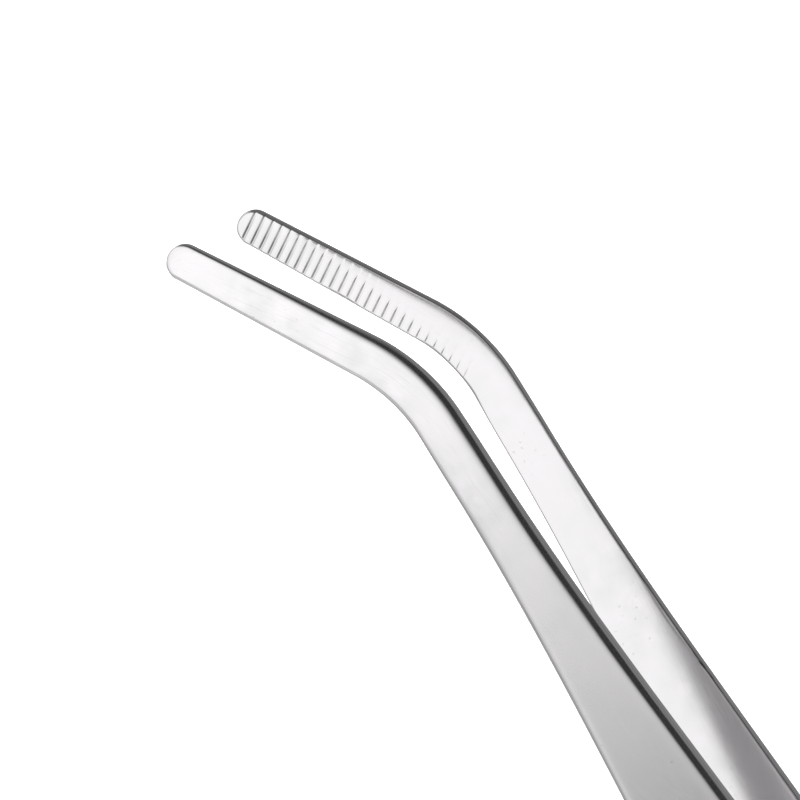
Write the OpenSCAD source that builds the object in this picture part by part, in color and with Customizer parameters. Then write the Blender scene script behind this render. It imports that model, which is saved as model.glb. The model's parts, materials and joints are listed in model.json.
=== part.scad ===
// Long bent-tip tweezers: two sprung steel strips, spot-welded together at the tail.
// Strip frame: X runs from the tips to the tail with 0 at the apex of the bend, Y is the
// direction in which the arms open, and Z is the width, positive on the outside of the bend.

/* [Length] */
// Apex of the bend to the tail end
main_length = 251.5; // [200:0.5:320]
// Apex of the bend to the end of a tip
tip_length = 21.5; // [18:0.1:30]
// Angle between the tips and the arms
bend_angle = 31.5; // [15:0.1:45]
// Radius of the bend along the middle of the strip
bend_radius = 15; // [10:0.1:20]

/* [Width] */
// Width across the round end of a tip
tip_width = 2.9; // [2:0.05:4]
// Width just behind the bend
neck_width = 3.9; // [3:0.05:5]
// Width over the finger grip
body_width = 11; // [9:0.1:14]
// Width at the tail end
tail_width = 8.4; // [7:0.1:9]
// Radius of the tail corners
tail_corner_r = 2.6; // [1:0.1:3]

/* [Thickness and opening] */
// Thickness of the steel strip
strip_t = 1.6; // [1.2:0.1:2]
// Thickness that the tips are ground down to
tip_t = 0.9; // [0.7:0.05:1.1]
// Gap between the tips at rest
tip_gap = 22; // [14:0.5:26]

/* [Tail joint] */
// Tail end to the line where the arms part
weld_length = 24; // [22:0.5:30]
// Length of the curve where the arms part
splay_length = 14; // [8:0.5:16]
// Radius of one spot weld
weld_r = 2.2; // [1.5:0.1:2.5]
// Distance between spot welds
weld_pitch = 5.5; // [5.2:0.1:6]
// Depth of the electrode dent over a spot weld
weld_dent = 0.1; // [0.05:0.01:0.2]
// Tail end to the axis about which an arm flexes
flex_from_tail = 61.5; // [45:0.5:80]

/* [Tip serrations] */
// Number of cuts across the inner face of a tip
cut_count = 27; // [20:1:28]
// Distance between cuts
cut_pitch = 0.82; // [0.8:0.01:0.84]
// Width of a cut at the face
cut_width = 0.3; // [0.25:0.01:0.4]
// Depth of a cut
cut_depth = 0.1; // [0.08:0.01:0.15]

/* [Finger grip] */
// Number of grooves across the outer face of an arm
grip_count = 24; // [12:1:30]
// Distance between grooves
grip_pitch = 1.4; // [1.2:0.1:1.6]
// Radius of the round groove cutter
grip_r = 0.5; // [0.4:0.05:0.6]
// Depth of a groove
grip_depth = 0.15; // [0.1:0.01:0.25]
// Apex of the bend to the first groove
grip_start = 92; // [85:1:110]

/* [Hidden] */

steel = [0.80, 0.80, 0.82];
weld_steel = [0.62, 0.60, 0.58];
eps = 0.01;
tall = 40;
slit = 0.16;
curve_steps = 16;

// Widths change over these stretches, measured from the apex of the bend
neck_x = 7.5;
swell_end_x = 71;
waist_start_x = 150;
// The strip is ground thinner from here towards the tip
grind_start_x = 70;

tip_r = tip_width / 2;
hinge_x = main_length - flex_from_tail;
vertex_x = main_length - weld_length;
bend_tangent = bend_radius * tan(bend_angle / 2);
tip_dir = [cos(bend_angle), sin(bend_angle)];
tip_centre = -(tip_length - tip_r) * tip_dir;
tip_reach = tip_length * cos(bend_angle);
// Half the opening angle, so that the inner faces are tip_gap apart at the tip ends
half_angle = asin(tip_gap / 2 / (vertex_x + tip_reach));
splay_radius = splay_length / 2 / tan(half_angle / 2);

function smooth(t) = let (k = max(0, min(1, t))) k * k * (3 - 2 * k);
function steps(a, b, n) = [for (i = [0:n]) a + (b - a) * i / n];

// Full width of the strip at x along the arm, behind the bend
function arm_width(x) = neck_width
    + (body_width - neck_width) * smooth((x - neck_x) / (swell_end_x - neck_x))
    - (body_width - tail_width) * smooth((x - waist_start_x) / (main_length - waist_start_x));

// Point and width direction on the middle line of the bend, where the heading is h
function bend_point(h) = [bend_tangent, -bend_radius] + bend_radius * [-sin(h), cos(h)];
function across(h) = [-sin(h), cos(h)];

// The tip widens evenly from its round end to the neck
neck_run = tip_length - tip_r - bend_tangent + bend_radius * bend_angle * PI / 180
    + neck_x - bend_tangent;
function tip_run_width(run) = tip_width + (neck_width - tip_width) * run / neck_run;
function bend_width(h) = tip_run_width(tip_length - tip_r - bend_tangent
    + bend_radius * (bend_angle - h) * PI / 180);

// One edge of the outline from tip to tail, side = 1 for the outside of the bend, -1 for the inside
function edge_points(side) = concat(
    [tip_centre + side * tip_r * across(bend_angle)],
    [for (h = steps(bend_angle, 0, 8)) bend_point(h) + side * bend_width(h) / 2 * across(h)],
    [for (x = steps(neck_x, swell_end_x, curve_steps)) [x, side * arm_width(x) / 2]],
    [for (x = steps(waist_start_x, main_length - tail_corner_r, curve_steps))
        [x, side * arm_width(x) / 2]]);

// Rounded corner of the tail, from the edge to the end face
function tail_corner(side) = [for (a = steps(80, 0, 8))
    [main_length - tail_corner_r + tail_corner_r * cos(a),
     side * (tail_width / 2 - tail_corner_r + tail_corner_r * sin(a))]];

function reversed(list) = [for (i = [len(list) - 1:-1:0]) list[i]];

// Broad-face outline of a whole arm, as a solid that is `tall` thick in Y
module face_outline() {
    rotate([90, 0, 0]) {
        translate([0, 0, -tall / 2])
            linear_extrude(tall)
                polygon(concat(edge_points(1), tail_corner(1),
                               reversed(tail_corner(-1)), reversed(edge_points(-1))));
        translate([tip_centre[0], tip_centre[1], -tall / 2])
            cylinder(h = tall, r = tip_r, $fn = 64);
    }
}

// Upper end of cut i across the tip: the later cuts stop further and further from the outer edge
full_cuts = 7;
function cut_top(i) = tip_r + 1 - (i < full_cuts ? 0
    : 0.7 + 2.4 * pow((i - full_cuts) / (cut_count - 1 - full_cuts), 1.3));

// V-shaped cuts across the inner face, square to the tip
module tip_cuts() {
    first_cut = 1.05;
    below_edge = 4;
    for (i = [0:cut_count - 1])
        rotate([0, -bend_angle, 0])
            translate([first_cut + i * cut_pitch - tip_length, 0, -below_edge])
                linear_extrude(below_edge + cut_top(i))
                    polygon([[-cut_width / 2, 0], [-cut_width / 2, -eps],
                             [cut_width / 2, -eps], [cut_width / 2, 0], [0, cut_depth]]);
}

// Round-bottomed grooves across the outer face, under the fingers
module grip_grooves() {
    for (i = [0:grip_count - 1])
        translate([grip_start + i * grip_pitch, strip_t + grip_r - grip_depth, -tall / 2])
            cylinder(h = tall, r = grip_r, $fn = 32);
}

// Front of an arm, lying flat with its inner face on Y = 0
module flat_blade() {
    front_x = -tip_reach - tip_width;
    grind_slope = (strip_t - tip_t) / (grind_start_x + tip_reach);
    front_t = tip_t - grind_slope * tip_width;
    back_x = hinge_x - slit / 2;
    difference() {
        intersection() {
            face_outline();
            translate([0, 0, -tall / 2])
                linear_extrude(tall)
                    polygon([[front_x, 0], [back_x, 0], [back_x, strip_t],
                             [grind_start_x, strip_t], [front_x, front_t]]);
        }
        tip_cuts();
        grip_grooves();
    }
}

// Back of an arm: flat in the weld, then a long shallow curve out to the opening angle
module heel_solid() {
    curve_end = vertex_x + splay_length / 2;
    leg = weld_length + hinge_x + slit / 2 - main_length;
    along = [cos(half_angle), -sin(half_angle)];
    outward = [sin(half_angle), cos(half_angle)];
    leg_end = [vertex_x, 0] + leg * along;
    inner = [for (a = steps(0, half_angle, 10))
        [curve_end - splay_radius * sin(a), splay_radius * (1 - cos(a))]];
    outer = [for (a = steps(0, half_angle, 10))
        [curve_end - (splay_radius - strip_t) * sin(a),
         splay_radius - (splay_radius - strip_t) * cos(a)]];
    difference() {
        intersection() {
            face_outline();
            translate([0, 0, -tall / 2])
                linear_extrude(tall)
                    polygon(concat([[main_length + 1, strip_t], [main_length + 1, 0]], inner,
                                   [leg_end, leg_end + strip_t * outward], reversed(outer)));
        }
        for (i = [0:2])
            weld_place(i)
                cylinder(h = tall, r = weld_r, center = true, $fn = 64);
    }
}

// Stands children on the centre line of spot weld i, counted from the front
module weld_place(i) {
    rear_margin = 4;
    translate([main_length - rear_margin - (2 - i) * weld_pitch, 0, 0])
        rotate([90, 0, 0])
            children();
}

module spot_weld(i) {
    color(weld_steel)
        weld_place(i)
            cylinder(h = 2 * (strip_t - weld_dent), r = weld_r, center = true, $fn = 64);
}

module right_heel() {
    color(steel) heel_solid();
}

module left_heel() {
    color(steel) mirror([0, 1, 0]) heel_solid();
}

module right_blade() {
    color(steel)
        translate([vertex_x, 0, 0])
            rotate([0, 0, -half_angle])
                translate([-vertex_x, 0, 0])
                    flat_blade();
}

module left_blade() {
    color(steel)
        mirror([0, 1, 0])
            translate([vertex_x, 0, 0])
                rotate([0, 0, -half_angle])
                    translate([-vertex_x, 0, 0])
                        flat_blade();
}

// The tool stands on its two tips and the lower corner of its tail: the arms tilt until the
// lowest point of a tip and of the tail corner are level, and the origin is below the middle.
tip_rest = [vertex_x + (tip_centre[0] - vertex_x) * cos(half_angle), tip_centre[1]];
tail_rest = [main_length - tail_corner_r, tail_corner_r - tail_width / 2];
rest_span = tail_rest - tip_rest;
tilt = atan2(rest_span[1], rest_span[0]) + asin((tip_r - tail_corner_r) / norm(rest_span));
base_z = -tip_rest[0] * sin(tilt) + tip_rest[1] * cos(tilt) - tip_r;
front_end = tip_rest[0] * cos(tilt) + tip_rest[1] * sin(tilt) - tip_r;
rear_end = tail_rest[0] * cos(tilt) - tail_rest[1] * sin(tilt) + tail_corner_r;

module standing() {
    translate([-(front_end + rear_end) / 2, 0, -base_z])
        rotate([0, tilt, 0])
            children();
}

standing() left_heel();
standing() right_heel();
standing() left_blade();
standing() right_blade();
standing() spot_weld(0);  // front_weld
standing() spot_weld(1);  // middle_weld
standing() spot_weld(2);  // rear_weld
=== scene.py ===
# %% [markdown]
# # Long bent-tip tweezers for planting an aquarium
#
# The real tool is two thin strips of stainless steel, spot-welded together at the tail. Each strip
# is bent sideways near its tip, ground thinner towards the end, cut with fine teeth on its inner
# face, and polished to a soft satin. It has no other pieces: the steel is its own spring.
#
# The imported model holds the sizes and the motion. This script keeps its welds, and gives each arm a
# finer surface: softened edges, teeth that fade out, finger grooves and dented welds.

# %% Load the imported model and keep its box
import json
import math

import bmesh
import bpy
import numpy as np
from mathutils import Matrix, Vector


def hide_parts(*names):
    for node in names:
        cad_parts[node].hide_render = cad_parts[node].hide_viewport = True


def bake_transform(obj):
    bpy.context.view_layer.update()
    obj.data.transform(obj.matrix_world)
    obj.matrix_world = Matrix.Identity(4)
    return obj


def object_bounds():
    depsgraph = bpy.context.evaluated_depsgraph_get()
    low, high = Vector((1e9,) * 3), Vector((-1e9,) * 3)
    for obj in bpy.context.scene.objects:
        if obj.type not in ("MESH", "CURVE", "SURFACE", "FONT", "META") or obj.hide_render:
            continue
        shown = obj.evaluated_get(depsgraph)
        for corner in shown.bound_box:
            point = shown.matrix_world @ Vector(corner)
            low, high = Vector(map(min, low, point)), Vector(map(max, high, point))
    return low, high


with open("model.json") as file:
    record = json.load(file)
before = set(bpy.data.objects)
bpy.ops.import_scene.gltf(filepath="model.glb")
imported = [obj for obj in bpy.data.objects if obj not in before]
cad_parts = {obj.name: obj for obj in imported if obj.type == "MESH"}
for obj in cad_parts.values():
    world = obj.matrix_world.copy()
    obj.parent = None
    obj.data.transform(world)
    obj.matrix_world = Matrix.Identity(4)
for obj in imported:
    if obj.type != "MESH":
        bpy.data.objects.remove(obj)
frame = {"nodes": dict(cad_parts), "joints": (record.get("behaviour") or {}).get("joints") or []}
cad_low, cad_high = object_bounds()
print("packed box in mm:", [round(1000 * v, 2) for v in (*cad_low, *cad_high)])

# %% [markdown]
# ## Where the arms lie
#
# An arm is easiest to think of as a flat strip: x runs from the bend to the tail, z is the width,
# and y is the thickness, from 0 on the inner face outwards. The design then opens the strip by half
# of the gap angle, leans it until tips and tail touch the table, and sets the origin under the middle.
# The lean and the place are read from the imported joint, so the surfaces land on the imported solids.

# %% Sizes of the strip, in millimetres
MM = 0.001
MAIN_LENGTH = 251.5
TIP_LENGTH = 21.5
BEND_ANGLE = math.radians(31.5)
BEND_RADIUS = 15.0
TIP_WIDTH = 2.9
NECK_WIDTH = 3.9
BODY_WIDTH = 11.0
TAIL_WIDTH = 8.4
TAIL_CORNER = 2.6
STRIP_T = 1.6
TIP_T = 0.9
TIP_GAP = 22.0
WELD_LENGTH = 24.0
SPLAY_LENGTH = 14.0
FLEX_FROM_TAIL = 61.5
NECK_X = 7.5
SWELL_END_X = 71.0
WAIST_START_X = 150.0
GRIND_START_X = 70.0

TIP_R = TIP_WIDTH / 2
VERTEX_X = MAIN_LENGTH - WELD_LENGTH
TANGENT = BEND_RADIUS * math.tan(BEND_ANGLE / 2)
TIP_REACH = TIP_LENGTH * math.cos(BEND_ANGLE)
HALF_ANGLE = math.asin(TIP_GAP / 2 / (VERTEX_X + TIP_REACH))
print("each arm opens by", round(math.degrees(HALF_ANGLE), 3), "degrees")


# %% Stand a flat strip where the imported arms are
def opened(x, y, z):
    """Flat strip to opened arm: straight in the weld, then round a long arc, then straight again."""
    curve_end = VERTEX_X + SPLAY_LENGTH / 2
    radius = SPLAY_LENGTH / 2 / math.tan(HALF_ANGLE / 2)
    turn = HALF_ANGLE * np.clip((curve_end - x) / SPLAY_LENGTH, 0, 1)
    arc_x = curve_end - (radius - y) * np.sin(turn)
    arc_y = radius - (radius - y) * np.cos(turn)
    c, s = math.cos(HALF_ANGLE), math.sin(HALF_ANGLE)
    leg_x = VERTEX_X + (x - VERTEX_X) * c + y * s
    leg_y = (VERTEX_X - x) * s + y * c
    in_weld, in_leg = x >= curve_end, x <= curve_end - SPLAY_LENGTH
    out_x = np.where(in_weld, x, np.where(in_leg, leg_x, arc_x))
    out_y = np.where(in_weld, y, np.where(in_leg, leg_y, arc_y))
    return out_x, out_y, z


right_joint = next(j for j in frame["joints"] if j["name"] == "right_squeeze")
LEAN = math.atan2(right_joint["axis"][0], right_joint["axis"][2])
hinge = opened(np.array(MAIN_LENGTH - FLEX_FROM_TAIL), np.array(STRIP_T / 2), np.array(0.0))
hinge_x, hinge_y, hinge_z = (float(v) for v in hinge)
ORIGIN_X = 1000 * right_joint["pos_m"][0] - hinge_x * math.cos(LEAN) - hinge_z * math.sin(LEAN)
ORIGIN_Z = 1000 * right_joint["pos_m"][2] + hinge_x * math.sin(LEAN) - hinge_z * math.cos(LEAN)


def stood(x, y, z, side):
    """Opened arm to the shared frame, in metres: lean about Y, move, and mirror the left arm."""
    px = x * math.cos(LEAN) + z * math.sin(LEAN) + ORIGIN_X
    pz = -x * math.sin(LEAN) + z * math.cos(LEAN) + ORIGIN_Z
    return np.stack([px, side * y, pz], -1) * MM


print("lean", round(math.degrees(LEAN), 3), "degrees; hinge is off the packed joint by",
      round(abs(1000 * right_joint["pos_m"][1] - hinge_y), 4), "mm")

# %% [markdown]
# ## The outline
#
# The middle line of a strip is a straight tip, an arc and a straight arm, so a single number, the
# run from the tip end, gives any point on it. The width is a function of the run too: a round nose,
# an even taper to the neck, a smooth swell to the finger grip, and a slow waist down to the tail.

# %% Middle line and width along the run
BEND_START = TIP_LENGTH - TANGENT
BEND_END = BEND_START + BEND_RADIUS * BEND_ANGLE
RUN_LENGTH = BEND_END + MAIN_LENGTH - TANGENT
NECK_RUN = BEND_END + NECK_X - TANGENT


def smooth(t):
    """0 before 0, 1 after 1, and 3t^2 - 2t^3 between."""
    t = np.clip(t, 0, 1)
    return t * t * (3 - 2 * t)


def middle_line(run):
    """Point (x, z) and heading at a run: tip axis, then an arc about (tangent, -radius), then +x."""
    heading = BEND_ANGLE * (1 - np.clip((run - BEND_START) / (BEND_END - BEND_START), 0, 1))
    along_tip = TIP_LENGTH - run
    tip_x, tip_z = -along_tip * math.cos(BEND_ANGLE), -along_tip * math.sin(BEND_ANGLE)
    arc_x = TANGENT - BEND_RADIUS * np.sin(heading)
    arc_z = BEND_RADIUS * (np.cos(heading) - 1)
    x = np.where(run < BEND_START, tip_x, np.where(run < BEND_END, arc_x, run - BEND_END + TANGENT))
    z = np.where(run < BEND_START, tip_z, np.where(run < BEND_END, arc_z, 0.0))
    return x, z, heading


def side_width(run):
    """Half of the width before the ends are rounded: taper, swell and waist added together."""
    x = run - BEND_END + TANGENT
    taper = TIP_WIDTH + (NECK_WIDTH - TIP_WIDTH) * np.clip((run - TIP_R) / (NECK_RUN - TIP_R), 0, 1)
    swell = (BODY_WIDTH - NECK_WIDTH) * smooth((x - NECK_X) / (SWELL_END_X - NECK_X))
    waist = (BODY_WIDTH - TAIL_WIDTH) * smooth((x - WAIST_START_X) / (MAIN_LENGTH - WAIST_START_X))
    return (taper + swell - waist) / 2


def half_width(run):
    """Half of the width with the round nose and the tail corners taken off."""
    nose = np.sqrt(np.clip(TIP_R**2 - (TIP_R - run) ** 2, 0, None))
    from_end = np.clip(RUN_LENGTH - run, 0, TAIL_CORNER)
    corner = TAIL_CORNER - np.sqrt(TAIL_CORNER**2 - (TAIL_CORNER - from_end) ** 2)
    return np.where(run < TIP_R, nose, side_width(run) - corner)


def edge_distance(run, n):
    """How far a point of the face is from the nearest point of the outline."""
    nose = TIP_R - np.hypot(TIP_R - run, n)
    from_end = RUN_LENGTH - run
    past = np.abs(n) - side_width(run) + TAIL_CORNER
    corner = TAIL_CORNER - np.hypot(TAIL_CORNER - from_end, past)
    straight = np.minimum(side_width(run) - np.abs(n), from_end)
    in_corner = (from_end < TAIL_CORNER) & (past > 0)
    return np.clip(np.where(run < TIP_R, nose, np.where(in_corner, corner, straight)), 0, None)


print("run of one arm:", round(RUN_LENGTH, 2), "mm, widest", round(2 * side_width(RUN_LENGTH / 2), 2))

# %% [markdown]
# ## The two faces
#
# A face is a height over the outline. The outer face is polished on a soft wheel, which rolls its
# edges over into a long shoulder, narrow at the tip and wide on the arm. The inner face lies on a
# flat stone, so it stays nearly flat, and its corner is broken by hand, which is why that corner is
# never quite even. A stone held at a slant leaves a shallow scoop along the upper side, and polishing
# rolls the jaw a little. Slow sine waves stand in for the hand.

# %% Heights of the outer and inner faces
TIP_CORNER = 0.14
CORNER_GROWTH = 0.46
CORNER_START, CORNER_STRETCH = 8, 30
CORNER_SHAPE = 0.45
TIP_SHOULDER = 0.45
UPPER_GROWTH, UPPER_START, UPPER_STRETCH = 1.15, 1, 27
LOWER_GROWTH, LOWER_START, LOWER_STRETCH = 0.65, 16, 24
SHOULDER_STEEP = 0.18
SHOULDER_WOBBLE = 0.05
UPPER_CHAMFER = 0.17
LOWER_CHAMFER = 0.10
CHAMFER_WOBBLE = 0.15
CHAMFER_SOFT = 0.03
TOUCH_WIDTH = 0.36
TOUCH_LEVEL = 0.25
SCOOP_DEPTH = 0.02
SCOOP_STEP = 0.14
SCOOP_WIDTH, SCOOP_WOBBLE, SCOOP_WEDGE = 0.28, 0.07, 0.17
SCOOP_CENTRE, SCOOP_SHIFT, SCOOP_SPREAD = 37, 6, 3.0
SCOOP_BEFORE, SCOOP_FADE_IN = 18, 6
SCOOP_AFTER, SCOOP_FADE_OUT = 6, 3
ROLL_WIDTH = 1.2
TIP_ROLL, ROLL_GROWTH, ROLL_START, ROLL_STRETCH = 0.012, 0.009, 8, 12
ROLL_END, ROLL_FADE = 33, 9


def hand(run, seed):
    """A slow wobble between about -1 and 1 along the run: three sine waves that never line up."""
    return (np.sin(run / 3.7 + 2.1 * seed) + np.sin(run / 9.1 + 4.7 * seed)
            + 0.6 * np.sin(run / 1.9 + seed)) / 2.6


def outer_corner(run):
    """Width of the rounded outer corner: 0.14 mm on the tip, 0.6 mm on the arm."""
    return TIP_CORNER + CORNER_GROWTH * smooth((run - CORNER_START) / CORNER_STRETCH)


def shoulder_width(run, share, seed):
    """Width of the rolled shoulder: it widens to 1.6 mm above and to 1.1 mm below."""
    above = TIP_SHOULDER + UPPER_GROWTH * smooth((run - UPPER_START) / UPPER_STRETCH)
    below = TIP_SHOULDER + LOWER_GROWTH * smooth((run - LOWER_START) / LOWER_STRETCH)
    return (share * above + (1 - share) * below) * (1 + SHOULDER_WOBBLE * hand(run, seed))


def upper_share(run, n):
    """0 at the lower edge of the strip, 1 at the upper edge, and smooth between."""
    return smooth(0.5 + 0.5 * n / np.maximum(half_width(run), 0.1))


def thickness(x):
    """The strip is full thickness on the arm and ground evenly thinner from there to the tip."""
    ground = np.clip((GRIND_START_X - x) / (GRIND_START_X + TIP_REACH), 0, 1)
    return STRIP_T - (STRIP_T - TIP_T) * ground


def outer_height(run, n, d, x, seed):
    """Thickness, less a fourth power across the shoulder and a quarter of an ellipse at its foot."""
    b, r = shoulder_width(run, upper_share(run, n), seed), outer_corner(run)
    drop = SHOULDER_STEEP * b * np.clip(1 - d / b, 0, 1) ** 4
    corner = 1 - np.sqrt(1 - np.clip(1 - d / r, 0, 1) ** 2)
    return thickness(x) - drop - CORNER_SHAPE * r * corner


def scoop_width(run, seed):
    """Width of the stoned scoop: a wandering strip that widens to a wedge and then stops."""
    centre = SCOOP_CENTRE + SCOOP_SHIFT * seed
    wedge = SCOOP_WEDGE * np.exp(-(((run - centre) / SCOOP_SPREAD) ** 2))
    wide = SCOOP_WIDTH + SCOOP_WOBBLE * hand(0.7 * run, seed) + wedge
    begins = smooth((run - centre + SCOOP_BEFORE) / SCOOP_FADE_IN)
    return wide * begins * smooth((centre + SCOOP_AFTER - run) / SCOOP_FADE_OUT)


def chamfer_width(run, share, seed):
    """Width of the broken inner corner: even above, and in separate touches below."""
    touches = TOUCH_WIDTH * np.clip(hand(1.6 * run, seed + 3) - TOUCH_LEVEL, 0, 1)
    above = UPPER_CHAMFER * (1 + CHAMFER_WOBBLE * hand(run, seed + 5))
    return share * above + (1 - share) * (LOWER_CHAMFER + touches)


def inner_roll(run, d):
    """A faint rolling of the upper side of the jaw, up to 1.2 mm wide, that ends behind the bend."""
    steep = TIP_ROLL + ROLL_GROWTH * smooth((run - ROLL_START) / ROLL_STRETCH)
    steep = steep * smooth((ROLL_END - run) / ROLL_FADE)
    return ROLL_WIDTH * steep * np.clip(1 - d / ROLL_WIDTH, 0, 1) ** 3


def inner_height(run, n, d, seed):
    """Flat, less a 45-degree chamfer with a soft start, a faint roll and a shallow scoop above."""
    share = upper_share(run, n)
    into = chamfer_width(run, share, seed) - d
    chamfer = (into + np.sqrt(into**2 + CHAMFER_SOFT**2)) / 2
    wide = scoop_width(run, seed)
    scoop = SCOOP_DEPTH * smooth((wide - d) / SCOOP_STEP) * np.clip(d / (wide + 0.01), 0, 1)
    return chamfer + share * inner_roll(run, d) + np.where(n > 0, scoop, 0)


print("tip is", round(float(thickness(np.array(-TIP_REACH))), 2), "mm thick, arm",
      round(float(thickness(np.array(100.0))), 2), "mm")

# %% [markdown]
# ## Teeth, finger grooves and weld dents
#
# The teeth are V-shaped cuts square to the tip. The cutter leans, so a cut is deepest at the lower
# edge and runs out before the upper one, and the last cuts only nick the edge inside the bend.
# Finger grooves are shallow rounds across the outer face. Each weld leaves a dent where the
# electrode pressed. All three are depths that are taken off a face height.

# %% Depths of the cuts
CUT_COUNT = 27
CUT_PITCH = 0.82
CUT_WIDTH = 0.33
CUT_DEPTH = 0.08
FIRST_CUT = 1.05
FULL_CUTS = 7
CUT_TOP, TOP_STEP, TOP_DROP = 2.3, 0.07, 2.5
RUN_OUT, RUN_OUT_LOSS = 2.4, 1.1
CUT_FADE = 0.75
GRIP_COUNT = 24
GRIP_PITCH = 1.4
GRIP_START = 92.0
GRIP_DEPTH = 0.15
GRIP_HALF = 0.36
WELD_R = 2.2
WELD_PITCH = 5.5
WELD_DENT = 0.1
DENT_EXTRA = 0.025
DENT_MARGIN = 0.25
DENT_RIM = 0.3
WELD_X = [MAIN_LENGTH - 4.0 - i * WELD_PITCH for i in (2, 1, 0)]


def tooth_depth(x, z):
    """V cuts in tip axes: each is deepest at the lower edge and runs out at its own height."""
    along = x * math.cos(BEND_ANGLE) + z * math.sin(BEND_ANGLE) + TIP_LENGTH
    up = -x * math.sin(BEND_ANGLE) + z * math.cos(BEND_ANGLE)
    index = np.clip(np.round((along - FIRST_CUT) / CUT_PITCH), 0, CUT_COUNT - 1)
    off = np.abs(along - FIRST_CUT - index * CUT_PITCH)
    late = np.clip((index - FULL_CUTS) / (CUT_COUNT - 1 - FULL_CUTS), 0, 1)
    top = CUT_TOP - TOP_STEP * np.minimum(index, FULL_CUTS) - TOP_DROP * late**1.25
    share = np.clip((top - up) / (RUN_OUT - RUN_OUT_LOSS * late), 0, 1)
    depth = CUT_DEPTH * share * (1 - CUT_FADE * index / CUT_COUNT)
    return depth * np.clip(1 - 2 * off / CUT_WIDTH, 0, 1)


def grip_depth(x):
    """Round-bottomed grooves: a parabola across each groove."""
    index = np.clip(np.round((x - GRIP_START) / GRIP_PITCH), 0, GRIP_COUNT - 1)
    off = (x - GRIP_START - index * GRIP_PITCH) / GRIP_HALF
    return GRIP_DEPTH * np.clip(1 - off**2, 0, 1)


def dent_depth(x, z):
    """A shallow dish over each weld, a little deeper than the face of the weld metal."""
    depth = np.zeros_like(x)
    for centre in WELD_X:
        r = np.hypot(x - centre, z)
        dish = smooth((WELD_R + DENT_MARGIN - r) / DENT_RIM)
        depth = np.maximum(depth, (WELD_DENT + DENT_EXTRA) * dish)
    return depth


print("cuts:", CUT_COUNT, "teeth per tip,", GRIP_COUNT, "grooves per arm,", len(WELD_X), "welds")

# %% [markdown]
# ## One closed surface per arm
#
# The arm is a grid: rings along the run, and columns round the section (inner face, upper edge,
# outer face, lower edge). Rings are close together only where something is cut. Columns crowd
# towards the edges, where the surface turns. The nose shrinks to one line, whose doubles are merged.

# %% Rings along the run and columns round the section
FACE_STEPS = 20
FINE_CUTS = 20
FINE_END = 24.5
BEND_STEP, FRONT_STEP, BACK_STEP, WELD_STEP = 0.07, 1.1, 1.5, 0.28
CUT_PLACES = [-1.08, -0.92, -0.4, -0.08, 0.08, 0.4, 0.92, 1.08, CUT_PITCH / CUT_WIDTH]
GROOVE_PLACES = [-1.06, -0.96, -0.65, -0.3, 0, 0.3, 0.65, 0.96, 1.06]


def ring_runs():
    """Runs of the rings: nose arc, teeth, bend, arm, grooves, arm, welds and tail corner."""
    nose = TIP_R * (1 - np.cos(np.radians(np.arange(0, 80, 5))))
    tooth = np.array(CUT_PLACES) * CUT_WIDTH / 2
    teeth = (FIRST_CUT + CUT_PITCH * np.arange(FINE_CUTS)[:, None] + tooth).ravel()
    bend = np.arange(teeth[-1] + BEND_STEP, FINE_END, BEND_STEP)
    shift = BEND_END - TANGENT
    groove = GRIP_HALF * np.array(GROOVE_PLACES)
    grooves = (GRIP_START + shift + GRIP_PITCH * np.arange(GRIP_COUNT)[:, None] + groove).ravel()
    front_arm = np.arange(bend[-1] + 0.5, grooves[0] - 0.6, FRONT_STEP)
    curve_start = RUN_LENGTH - WELD_LENGTH - SPLAY_LENGTH
    back_arm = np.arange(grooves[-1] + 0.6, curve_start, BACK_STEP)
    weld_zone = np.arange(curve_start, RUN_LENGTH - TAIL_CORNER, WELD_STEP)
    end = RUN_LENGTH - TAIL_CORNER * (1 - np.sin(np.radians(np.arange(0, 90.1, 5))))
    runs = np.concatenate([nose[nose < teeth[0] - 0.04], teeth, bend, front_arm, grooves, back_arm,
                           weld_zone, end])
    return np.unique(np.round(runs, 5))


def face_columns(run, seed):
    """Offsets from the middle line across one face. Extra columns follow chamfer and scoop."""
    h = half_width(run)[:, None]
    r = outer_corner(run)[:, None]
    b_low, b_high = shoulder_width(run, 0, seed)[:, None], shoulder_width(run, 1, seed)[:, None]
    corner = r * (1 - np.cos(np.radians([0, 12, 26, 45, 65, 85])))
    steps = np.array([0.1, 0.22, 0.36, 0.5, 0.65, 0.82, 1])
    scoop = scoop_width(run, seed)[:, None] + SCOOP_STEP * np.array([-1.15, -0.8, -0.5, -0.2, 0.15])
    soft = CHAMFER_SOFT * np.array([-1, 0, 1])
    above = chamfer_width(run, 1, seed)[:, None] + soft
    below = chamfer_width(run, 0, seed)[:, None] + soft
    squeeze = np.minimum(1, h / (1.2 * b_high))
    low = squeeze * np.sort(np.concatenate([corner, r + (b_low - r) * steps, below], 1), 1)
    scoop = np.clip(scoop, 0.02, None)
    high = squeeze * np.sort(np.concatenate([corner, r + (b_high - r) * steps, above, scoop], 1), 1)
    middle = np.linspace(0, 1, FACE_STEPS)[1:-1]
    middle = (1 - middle) * (low[:, -1:] - h) + middle * (h - high[:, -1:])
    return np.concatenate([low - h, middle, (h - high)[:, ::-1]], 1)


runs = ring_runs()
print(len(runs), "rings of", 2 * face_columns(runs[:1], 0).shape[1] + 4, "points")


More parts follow.
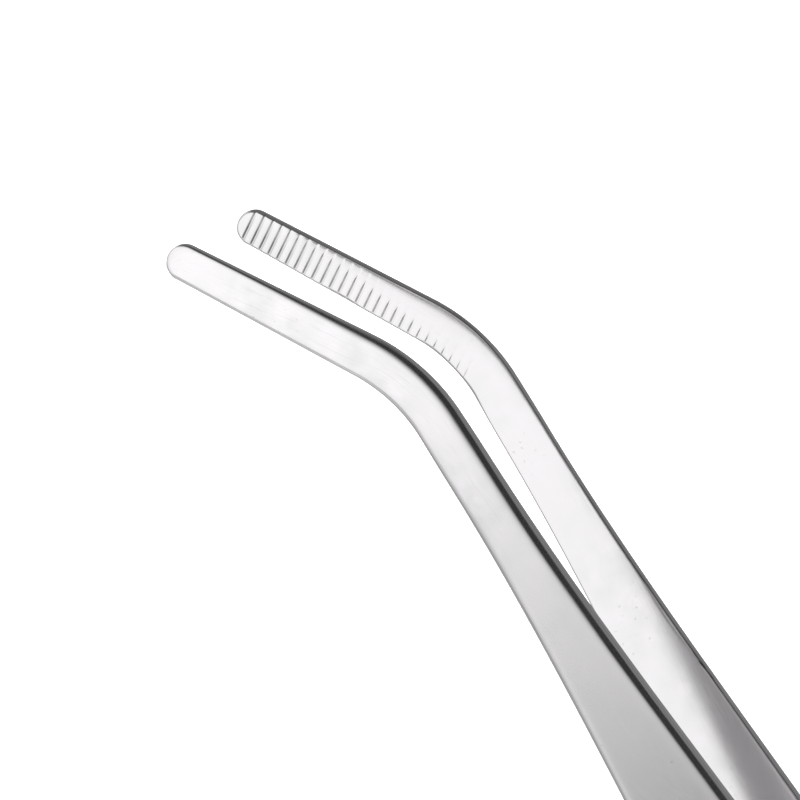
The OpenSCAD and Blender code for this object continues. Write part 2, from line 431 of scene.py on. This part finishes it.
# %% Points of one arm
def arm_grid(seed):
    """Rings by columns: flat-strip coordinates and an edge mask."""
    n = face_columns(runs, seed)
    run = np.broadcast_to(runs[:, None], n.shape)
    mid_x, mid_z, heading = middle_line(run)
    x, z = mid_x - n * np.sin(heading), mid_z + n * np.cos(heading)
    d = edge_distance(run, n)
    y_in = inner_height(run, n, d, seed) + tooth_depth(x, z)
    y_out = outer_height(run, n, d, x, seed) - grip_depth(x) - dent_depth(x, z)
    wall = np.array([1, 2]) / 3
    upper = y_in[:, -1:] + (y_out[:, -1:] - y_in[:, -1:]) * wall
    lower = y_out[:, :1] + (y_in[:, :1] - y_out[:, :1]) * wall
    ring_x = np.concatenate([x, x[:, -1:] + 0 * upper, x[:, ::-1], x[:, :1] + 0 * lower], 1)
    ring_z = np.concatenate([z, z[:, -1:] + 0 * upper, z[:, ::-1], z[:, :1] + 0 * lower], 1)
    ring_y = np.concatenate([y_in, upper, y_out[:, ::-1], lower], 1)
    rolled = 1 - smooth(d / (1.2 * shoulder_width(run, upper_share(run, n), seed)))
    nicked = 1 - smooth(d / 0.3)
    edge = np.concatenate([nicked, 1 + 0 * upper, rolled[:, ::-1], 1 + 0 * lower], 1)
    return ring_x, ring_y, ring_z, edge


def perimeter(y, x, z):
    """Length round each ring up to each column, and once more back to the first."""
    ring = np.stack([x, y, z], -1)
    step = np.linalg.norm(np.roll(ring, -1, 1) - ring, axis=-1)
    return np.concatenate([np.zeros((len(ring), 1)), np.cumsum(step, 1)], 1)


# %% Grid to mesh
def tail_cap(columns):
    """Faces of the flat tail end, as column numbers: a strip of quads, a hexagon at each wall."""
    face = columns // 2 - 2
    a = np.arange(1, face - 2)
    quads = np.stack([a, a + 1, columns - 4 - a, columns - 3 - a], -1)
    upper = np.arange(face - 2, face + 4)
    lower = np.array([0, 1, columns - 4, columns - 3, columns - 2, columns - 1])
    return [*quads, upper, lower]


def build_arm(name, side, seed):
    """Makes the closed mesh of one arm, with a UV map in metres along and round the strip."""
    x, y, z, edge = arm_grid(seed)
    rows, columns = x.shape
    points = stood(*opened(x, y, z), side).reshape(-1, 3)
    i, j = np.meshgrid(np.arange(rows - 1), np.arange(columns), indexing="ij")
    k = (j + 1) % columns
    quads = np.stack([i * columns + j, i * columns + k, (i + 1) * columns + k,
                      (i + 1) * columns + j], -1).reshape(-1, 4)
    around = perimeter(y, x, z)
    uv = np.stack([runs[:, None] + 0 * around, around], -1) * MM
    side_uv = np.stack([uv[:-1, :-1], uv[:-1, 1:], uv[1:, 1:], uv[1:, :-1]], 2).reshape(-1, 2)
    cap = tail_cap(columns)
    cap_columns = np.concatenate(cap)
    faces = quads.tolist() + [(face + (rows - 1) * columns).tolist() for face in cap]
    mesh = bpy.data.meshes.new(name)
    mesh.from_pydata(points.tolist(), [], faces)
    layer = mesh.uv_layers.new(name="strip")
    all_uv = np.concatenate([side_uv, uv[-1, cap_columns]])
    layer.data.foreach_set("uv", all_uv.astype(np.float32).ravel())
    mask = mesh.attributes.new("edge", "FLOAT", "POINT")
    mask.data.foreach_set("value", edge.astype(np.float32).ravel())
    tidy_mesh(mesh)
    arm = bpy.data.objects.new(name, mesh)
    bpy.context.scene.collection.objects.link(arm)
    return arm


def tidy_mesh(mesh):
    """Merges the nose's doubles, drops faces with no area, points every face outwards."""
    work = bmesh.new()
    work.from_mesh(mesh)
    bmesh.ops.remove_doubles(work, verts=work.verts, dist=1e-7)
    bmesh.ops.recalc_face_normals(work, faces=work.faces)
    open_edges = sum(1 for e in work.edges if len(e.link_faces) != 2)
    work.to_mesh(mesh)
    work.free()
    mesh.shade_smooth()
    mesh.set_sharp_from_angle(angle=math.radians(50))
    print(mesh.name, len(mesh.polygons), "faces,", open_edges, "open edges")


left_arm = build_arm("left_arm", -1, 1)
right_arm = build_arm("right_arm", 1, 2)

# %% [markdown]
# ## The arms in place of the imported parts
#
# The motion study turns each arm about one hinge near the tail, but steel bends over a length. Here
# each arm stands still in its opened pose, as one surface that follows the welded tail and turns
# over a short arc into the arm. The imported heel and blade of each side are hidden in its place.


for arm, body, side in ((left_arm, "left_arm", -1), (right_arm, "right_arm", 1)):
    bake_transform(arm)
    heel = "left_heel" if side < 0 else "right_heel"
    blade = "left_blade" if side < 0 else "right_blade"
    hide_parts(heel, blade)

# %% [markdown]
# ## Steel
#
# Satin steel is a mirror that fine scratches have blurred. The blur is the roughness, and it is
# never even: the polishing belt leaves grain along the strip, fingers leave faint clouds, and the
# ground edges are coarser. Each effect is a small node group that gives out a value, so the arms
# and the welds share them with their own settings.


# %% Helpers for node groups
def new_group(name, inputs, outputs):
    """A shader node group with the named sockets. Returns the group, its nodes and its links."""
    group = bpy.data.node_groups.new(name, "ShaderNodeTree")
    for label, kind, value in inputs:
        socket = group.interface.new_socket(label, in_out="INPUT", socket_type=kind)
        if value is not None:
            socket.default_value = value
    for label, kind in outputs:
        group.interface.new_socket(label, in_out="OUTPUT", socket_type=kind)
    ends = group.nodes.new("NodeGroupInput"), group.nodes.new("NodeGroupOutput")
    return group, ends[0].outputs, ends[1].inputs


def add(tree, kind, links=(), **values):
    """Adds a node, sets its properties and numbered or named inputs, and links what feeds it."""
    node = tree.nodes.new(kind)
    for key, value in values.items():
        setattr(node, key, value)
    for socket, source in links:
        target = node.inputs[socket]
        if isinstance(source, bpy.types.NodeSocket):
            tree.links.new(source, target)
        else:
            target.default_value = source
    return node


def math_node(tree, operation, a, b):
    """One Math node, as its output socket."""
    return add(tree, "ShaderNodeMath", [(0, a), (1, b)], operation=operation).outputs[0]


def mix_colours(tree, share, first, second):
    """Two colours mixed by a share, as the output socket. Uniform colours are given as RGB."""
    sides = [side if isinstance(side, bpy.types.NodeSocket) else (*side, 1) for side in (first, second)]
    links = [(0, share), (6, sides[0]), (7, sides[1])]
    return add(tree, "ShaderNodeMix", links, data_type="RGBA").outputs[2]


def remap(tree, value, low, high, to_low, to_high):
    """A clamped straight-line remap of a value, as its output socket."""
    links = [(0, value), (1, low), (2, high), (3, to_low), (4, to_high)]
    return add(tree, "ShaderNodeMapRange", links).outputs[0]


# %% Belt grain
def grain_group():
    """Long thin noise: the strip's UV is squeezed across and stretched along before the noise."""
    group, given, result = new_group(
        "belt grain",
        [("UV", "NodeSocketVector", None), ("Length", "NodeSocketFloat", 12.0),
         ("Fineness", "NodeSocketFloat", 9000.0)],
        [("Grain", "NodeSocketFloat")])
    along = math_node(group, "DIVIDE", given["Fineness"], given["Length"])
    scale = add(group, "ShaderNodeCombineXYZ", [(0, along), (1, given["Fineness"])]).outputs[0]
    stretched = add(group, "ShaderNodeVectorMath", [(0, given["UV"]), (1, scale)],
                    operation="MULTIPLY").outputs[0]
    noise = add(group, "ShaderNodeTexNoise", [("Vector", stretched), ("Scale", 1.0), ("Detail", 3.0),
                ("Roughness", 0.6)], noise_dimensions="2D")
    group.links.new(noise.outputs[0], result["Grain"])
    return group


# %% Clouds left by fingers and polishing paste
def cloud_group():
    """Two sizes of soft noise multiplied, so that clouds come in patches."""
    group, given, result = new_group(
        "handling clouds",
        [("Position", "NodeSocketVector", None), ("Size", "NodeSocketFloat", 90.0)],
        [("Cloud", "NodeSocketFloat")])
    parts = []
    for factor in (1.0, 4.3):
        size = math_node(group, "MULTIPLY", given["Size"], factor)
        noise = add(group, "ShaderNodeTexNoise", [("Vector", given["Position"]), ("Scale", size),
                    ("Detail", 2.0)])
        parts.append(remap(group, noise.outputs[0], 0.35, 0.65, 0.0, 1.0))
    group.links.new(math_node(group, "MULTIPLY", *parts), result["Cloud"])
    return group


# %% Hairline scratches and specks
def mark_group():
    """Two tilted, stretched noises cut near their peaks give hairlines; a fine noise gives specks."""
    group, given, result = new_group(
        "fine marks",
        [("UV", "NodeSocketVector", None), ("Amount", "NodeSocketFloat", 0.5)],
        [("Scratches", "NodeSocketFloat"), ("Specks", "NodeSocketFloat")])
    lines = None
    for angle, offset in ((9.0, 0.0), (-62.0, 3.1)):
        turned = add(group, "ShaderNodeMapping", [("Vector", given["UV"]), ("Location", (offset, 0, 0)),
                     ("Rotation", (0, 0, math.radians(angle))), ("Scale", (160.0, 9000.0, 1.0))])
        noise = add(group, "ShaderNodeTexNoise", [("Vector", turned.outputs[0]), ("Scale", 1.0),
                    ("Detail", 0.0)], noise_dimensions="2D")
        line = remap(group, noise.outputs[0], 0.80, 0.88, 0.0, 1.0)
        lines = line if lines is None else math_node(group, "MAXIMUM", lines, line)
    dust = add(group, "ShaderNodeTexNoise", [("Vector", given["UV"]), ("Scale", 2600.0),
               ("Detail", 0.0)], noise_dimensions="2D")
    patch = add(group, "ShaderNodeTexNoise", [("Vector", given["UV"]), ("Scale", 110.0),
                ("Detail", 1.0)], noise_dimensions="2D")
    speck = math_node(group, "MULTIPLY", remap(group, dust.outputs[0], 0.79, 0.88, 0.0, 1.0),
                      remap(group, patch.outputs[0], 0.53, 0.7, 0.0, 1.0))
    group.links.new(math_node(group, "MULTIPLY", lines, given["Amount"]), result["Scratches"])
    group.links.new(math_node(group, "MULTIPLY", speck, given["Amount"]), result["Specks"])
    return group


# %% Heat tint round a weld
HEAT_RINGS = 0.0036
TINT_FROM, TINT_TO = 0.0022, 0.0038


def heat_group():
    """Straw and violet rings by the distance from the nearest weld's centre line."""
    group, given, result = new_group(
        "weld heat", [("Position", "NodeSocketVector", None)],
        [("Tint", "NodeSocketColor"), ("Mask", "NodeSocketFloat")])
    nearest = None
    for x in WELD_X:
        centre = stood(np.array(x), np.array(0.0), np.array(0.0), 1)
        gap = add(group, "ShaderNodeVectorMath", [(0, given["Position"]), (1, tuple(centre))],
                  operation="SUBTRACT").outputs[0]
        flat = add(group, "ShaderNodeVectorMath", [(0, gap), (1, (1.0, 0.0, 1.0))],
                   operation="MULTIPLY").outputs[0]
        far = add(group, "ShaderNodeVectorMath", [(0, flat)], operation="LENGTH").outputs["Value"]
        nearest = far if nearest is None else math_node(group, "MINIMUM", nearest, far)
    ring = remap(group, nearest, 0.0, HEAT_RINGS, 0.0, 1.0)
    ramp = add(group, "ShaderNodeValToRGB", [(0, ring)])
    stops = [(0.0, (0.62, 0.60, 0.58)), (0.5, (0.66, 0.61, 0.55)), (0.66, (0.50, 0.47, 0.58)),
             (0.8, (0.74, 0.66, 0.50)), (1.0, (0.78, 0.78, 0.79))]
    set_ramp(ramp, stops)
    group.links.new(ramp.outputs[0], result["Tint"])
    group.links.new(remap(group, nearest, TINT_FROM, TINT_TO, 1.0, 0.0), result["Mask"])
    return group


def set_ramp(node, stops):
    """Fills a colour ramp with (place, colour) stops."""
    marks = node.color_ramp.elements
    while len(marks) < len(stops):
        marks.new(0.5)
    for mark, (place, colour) in zip(marks, stops):
        mark.position = place
        mark.color = (*colour, 1.0)


GRAIN, CLOUD, MARKS, HEAT = grain_group(), cloud_group(), mark_group(), heat_group()
print("node groups:", [g.name for g in (GRAIN, CLOUD, MARKS, HEAT)])


# %% Satin steel of the arms
CLEAN_STEEL = (0.875, 0.858, 0.872)
HANDLED_STEEL = (0.825, 0.82, 0.826)
SPECK_GREY = (0.56, 0.55, 0.54)
SATIN_ROUGHNESS = (0.12, 0.14)


def use_group(tree, group, links):
    """Places a node group, with its sockets fed by name."""
    return add(tree, "ShaderNodeGroup", links, node_tree=group)


def new_material(name, metallic=1.0):
    """A material with a Principled shader. Returns it, its tree and the shader."""
    material = bpy.data.materials.new(name)
    material.use_nodes = True
    shader = material.node_tree.nodes["Principled BSDF"]
    shader.inputs["Metallic"].default_value = metallic
    return material, material.node_tree, shader


def arm_material():
    """Grain, clouds and marks vary roughness and colour; edges are coarser; welds are tinted."""
    material, tree, shader = new_material("satin_steel")
    place = add(tree, "ShaderNodeTexCoord").outputs["Object"]
    uv = add(tree, "ShaderNodeUVMap", uv_map="strip").outputs[0]
    grain = use_group(tree, GRAIN, [("UV", uv), ("Length", 14.0), ("Fineness", 9000.0)]).outputs[0]
    cloud = use_group(tree, CLOUD, [("Position", place), ("Size", 110.0)]).outputs[0]
    marks = use_group(tree, MARKS, [("UV", uv), ("Amount", 0.4)]).outputs
    heat = use_group(tree, HEAT, [("Position", place)]).outputs
    edge = add(tree, "ShaderNodeAttribute", attribute_name="edge").outputs["Fac"]
    base = mix_colours(tree, cloud, CLEAN_STEEL, HANDLED_STEEL)
    flecked = mix_colours(tree, marks["Specks"], base, SPECK_GREY)
    tinted = mix_colours(tree, heat["Mask"], flecked, heat["Tint"])
    tree.links.new(tinted, shader.inputs["Base Color"])
    rough = remap(tree, grain, 0.3, 0.7, *SATIN_ROUGHNESS)
    for value, share in ((cloud, 0.03), (edge, 0.05), (marks["Scratches"], 0.08)):
        rough = math_node(tree, "ADD", rough, math_node(tree, "MULTIPLY", value, share))
    tree.links.new(rough, shader.inputs["Roughness"])
    height = math_node(tree, "SUBTRACT", math_node(tree, "MULTIPLY", grain, 0.5), marks["Scratches"])
    bump = add(tree, "ShaderNodeBump", [("Strength", 0.2), ("Distance", 4e-6), ("Height", height)])
    tree.links.new(bump.outputs[0], shader.inputs["Normal"])
    return material


for arm in (left_arm, right_arm):
    arm.data.materials.clear()
satin = arm_material()
for arm in (left_arm, right_arm):
    arm.data.materials.append(satin)
print("arms:", satin.name)


# %% [markdown]
# ## Weld metal
#
# A spot weld is a button of steel that melted and froze again between the strips. What shows is a
# round dished face, duller than the belt-polished strip and faintly coloured by the heat.

# %% Material of the welds
def weld_material():
    """Dull steel with the same heat rings, and a cast grain in the bump."""
    material, tree, shader = new_material("weld_steel")
    place = add(tree, "ShaderNodeTexCoord").outputs["Object"]
    heat = use_group(tree, HEAT, [("Position", place)])
    cloud = use_group(tree, CLOUD, [("Position", place), ("Size", 900.0)]).outputs[0]
    tree.links.new(heat.outputs["Tint"], shader.inputs["Base Color"])
    tree.links.new(remap(tree, cloud, 0.0, 1.0, 0.32, 0.48), shader.inputs["Roughness"])
    bump = add(tree, "ShaderNodeBump", [("Strength", 0.3), ("Distance", 2e-5), ("Height", cloud)])
    tree.links.new(bump.outputs[0], shader.inputs["Normal"])
    return material


weld = weld_material()
for name in ("front_weld", "middle_weld", "rear_weld"):
    node = frame["nodes"][name]
    node.data.materials.clear()
    node.data.materials.append(weld)

# %% [markdown]
# ## Studio
#
# Polished steel shows its surroundings, so the room is most of the picture. The tool stands on a
# pale table under soft light. The room that it mirrors is given as a sky of soft cards: pale where
# the table in front lies, dim overhead, and grey behind, which draws the edges dark.

# %% Floor
def make_floor():
    """A wide pale table whose colour has a slight soft mottle. Reflections see the cards instead."""
    mesh = bpy.data.meshes.new("table")
    reach = 14.0
    corners = [(-reach, -reach, 0), (reach, -reach, 0), (reach, reach, 0), (-reach, reach, 0)]
    mesh.from_pydata(corners, [], [(0, 1, 2, 3)])
    floor = bpy.data.objects.new("table", mesh)
    bpy.context.scene.collection.objects.link(floor)
    material, tree, shader = new_material("table_paint", metallic=0.0)
    shader.inputs["Roughness"].default_value = 0.9
    shader.inputs["Specular IOR Level"].default_value = 0.1
    shader.inputs["Emission Color"].default_value = (0.95, 0.95, 0.95, 1)
    shader.inputs["Emission Strength"].default_value = 0.75
    place = add(tree, "ShaderNodeTexCoord").outputs["Object"]
    noise = add(tree, "ShaderNodeTexNoise", [("Vector", place), ("Scale", 3.0)]).outputs[0]
    paint = mix_colours(tree, noise, (0.90, 0.90, 0.90), (0.92, 0.92, 0.92))
    tree.links.new(paint, shader.inputs["Base Color"])
    mesh.materials.append(material)
    floor.visible_glossy = False
    return floor


floor = make_floor()
print("floor reaches", round(floor.dimensions.x, 1), "m across")


# %% Room of soft cards
MIRROR_STRENGTH = 1.4


def ramp_of(tree, value, low, high, stops):
    """A grey colour ramp over a value that runs from low to high. A stop is a place and a grey."""
    ramp = add(tree, "ShaderNodeValToRGB", [(0, remap(tree, value, low, high, 0.0, 1.0))])
    set_ramp(ramp, [((place - low) / (high - low), (level,) * 3) for place, level in stops])
    return ramp.outputs[0]


def cards_around(tree, bearing):
    """Brightness by bearing in degrees, 0 in front of the table: a low band and a high band.

    The low band is stepped closely between 3 and 16 degrees, because the near arm's outer face
    mirrors only those bearings, and they give it its shading along the arm.
    """
    degrees = math_node(tree, "MULTIPLY", bearing, 180 / math.pi)
    low = ramp_of(tree, degrees, -180, 180, [
        (-180, 0.22), (-150, 0.25), (-110, 0.46), (-80, 0.54), (-55, 0.58), (-45, 0.64),
        (-36, 0.80), (-5, 0.80), (-3, 0.75), (0, 0.76), (3, 0.93), (4.7, 0.93), (5.2, 0.645),
        (5.8, 0.60), (6.6, 0.555), (7.4, 0.49), (8, 0.26), (8.7, 0.06), (10, 0.06), (12, 0.42),
        (16, 0.60), (20, 0.63), (32, 0.68), (46, 0.60), (60, 0.42), (76, 0.19), (92, 0.36),
        (115, 0.54), (150, 0.32), (180, 0.22)])
    high = ramp_of(tree, degrees, -180, 180, [
        (-180, 0.15), (-150, 0.14), (-110, 0.11), (-60, 0.08), (-25, 0.014), (40, 0.014),
        (80, 0.06), (120, 0.11), (150, 0.14), (180, 0.15)])
    return low, high


def cards_by_height(tree, up):
    """Shares by height, -1 straight down to 1 straight up: both bands, the floor, and overhead."""
    low = ramp_of(tree, up, -1, 1, [
        (-1, 0), (-0.85, 0.2), (-0.55, 0.75), (-0.35, 0.97), (-0.22, 1), (-0.12, 0.82),
        (-0.04, 0.6), (0.04, 0.35), (0.12, 0.12), (0.2, 0)])
    high = ramp_of(tree, up, -1, 1, [(-0.04, 0), (0.12, 0.8), (0.2, 1), (0.8, 1), (0.95, 0)])
    under = ramp_of(tree, up, -1, 1, [(-1, 0.26), (-0.85, 0.32), (-0.55, 0.07), (-0.35, 0)])
    over = ramp_of(tree, up, -1, 1, [(0.86, 0), (0.95, 0.14), (1, 0.13)])
    return low, high, under, over


def make_room():
    """Camera and soft light see an even pale room; mirror rays see the cards by direction."""
    world = bpy.data.worlds.new("studio")
    bpy.context.scene.world = world
    world.use_nodes = True
    tree = world.node_tree
    tree.nodes.clear()
    direction = add(tree, "ShaderNodeTexCoord").outputs["Generated"]
    part = add(tree, "ShaderNodeSeparateXYZ", [(0, direction)]).outputs
    bearing = math_node(tree, "ARCTAN2", part[0], math_node(tree, "MULTIPLY", part[1], -1.0))
    around_low, around_high = cards_around(tree, bearing)
    low, high, under, over = cards_by_height(tree, part[2])
    cards = math_node(tree, "ADD", math_node(tree, "MULTIPLY", around_low, low),
                      math_node(tree, "MULTIPLY", around_high, high))
    cards = math_node(tree, "ADD", cards, math_node(tree, "ADD", under, over))
    is_mirrored = add(tree, "ShaderNodeLightPath").outputs["Is Glossy Ray"]
    mirrored = add(tree, "ShaderNodeBackground", [(0, cards), (1, MIRROR_STRENGTH)]).outputs[0]
    even = add(tree, "ShaderNodeBackground", [(0, (1, 1, 1, 1)), (1, 1.0)]).outputs[0]
    mixed = add(tree, "ShaderNodeMixShader", [(0, is_mirrored), (1, even), (2, mirrored)])
    add(tree, "ShaderNodeOutputWorld", [(0, mixed.outputs[0])])
    return world


world = make_room()
bpy.context.scene.view_settings.view_transform = "Standard"
print("room:", world.name)


# %% Soft light from above
LIGHT_SIZE = 1.2
LIGHT_POWER = 8.0


def soft_light(name, place, aim, size, power):
    """A square area light that points from its place to an aim. Mirror rays don't see it."""
    data = bpy.data.lights.new(name, "AREA")
    data.shape, data.size, data.energy = "SQUARE", size, power
    light = bpy.data.objects.new(name, data)
    light.location = place
    light.rotation_euler = (Vector(aim) - Vector(place)).to_track_quat("-Z", "Y").to_euler()
    light.visible_camera = False
    light.visible_glossy = False
    bpy.context.scene.collection.objects.link(light)
    return light


middle = (cad_low + cad_high) / 2
soft_light("overhead_box", (middle.x - 0.1, -0.25, 1.1), middle, LIGHT_SIZE, LIGHT_POWER)
print("light over", [round(v, 3) for v in middle])

# %% [markdown]
# ## Camera
#
# A long lens from about 0.6 m, low over the table and rolled, so that the arms run down the picture
# from upper left to lower right, and the frame closes in on the tips and the bend.

# %% Camera
CAMERA_AZIMUTH = math.radians(0.105)
CAMERA_ELEVATION = math.radians(15.224)
CAMERA_ROLL = math.radians(56.866)
CAMERA_DISTANCE = 0.5957
CAMERA_LENS = 338.8
AIM_FROM_FRONT = 0.01958
AIM_SIDE = -0.00082
AIM_HEIGHT = 0.00703


def make_camera():
    """Places the camera at a distance from its aim, and rolls it about its own line of sight."""
    data = bpy.data.cameras.new("camera")
    data.lens, data.sensor_width = CAMERA_LENS, 36.0
    data.clip_start, data.clip_end = 0.05, 50.0
    ca, sa = math.cos(CAMERA_AZIMUTH), math.sin(CAMERA_AZIMUTH)
    ce, se = math.cos(CAMERA_ELEVATION), math.sin(CAMERA_ELEVATION)
    back, right = Vector((sa * ce, -ca * ce, se)), Vector((ca, sa, 0))
    up = back.cross(right)
    c, s = math.cos(CAMERA_ROLL), math.sin(CAMERA_ROLL)
    across, over = c * right + s * up, c * up - s * right
    camera = bpy.data.objects.new("camera", data)
    turn = Matrix((across, over, back)).transposed()
    aim = Vector((cad_low.x + AIM_FROM_FRONT, AIM_SIDE, AIM_HEIGHT))
    camera.matrix_world = Matrix.Translation(aim + CAMERA_DISTANCE * back) @ turn.to_4x4()
    bpy.context.scene.collection.objects.link(camera)
    bpy.context.scene.camera = camera
    return camera


camera = make_camera()
print("camera at", [round(v, 4) for v in camera.location])
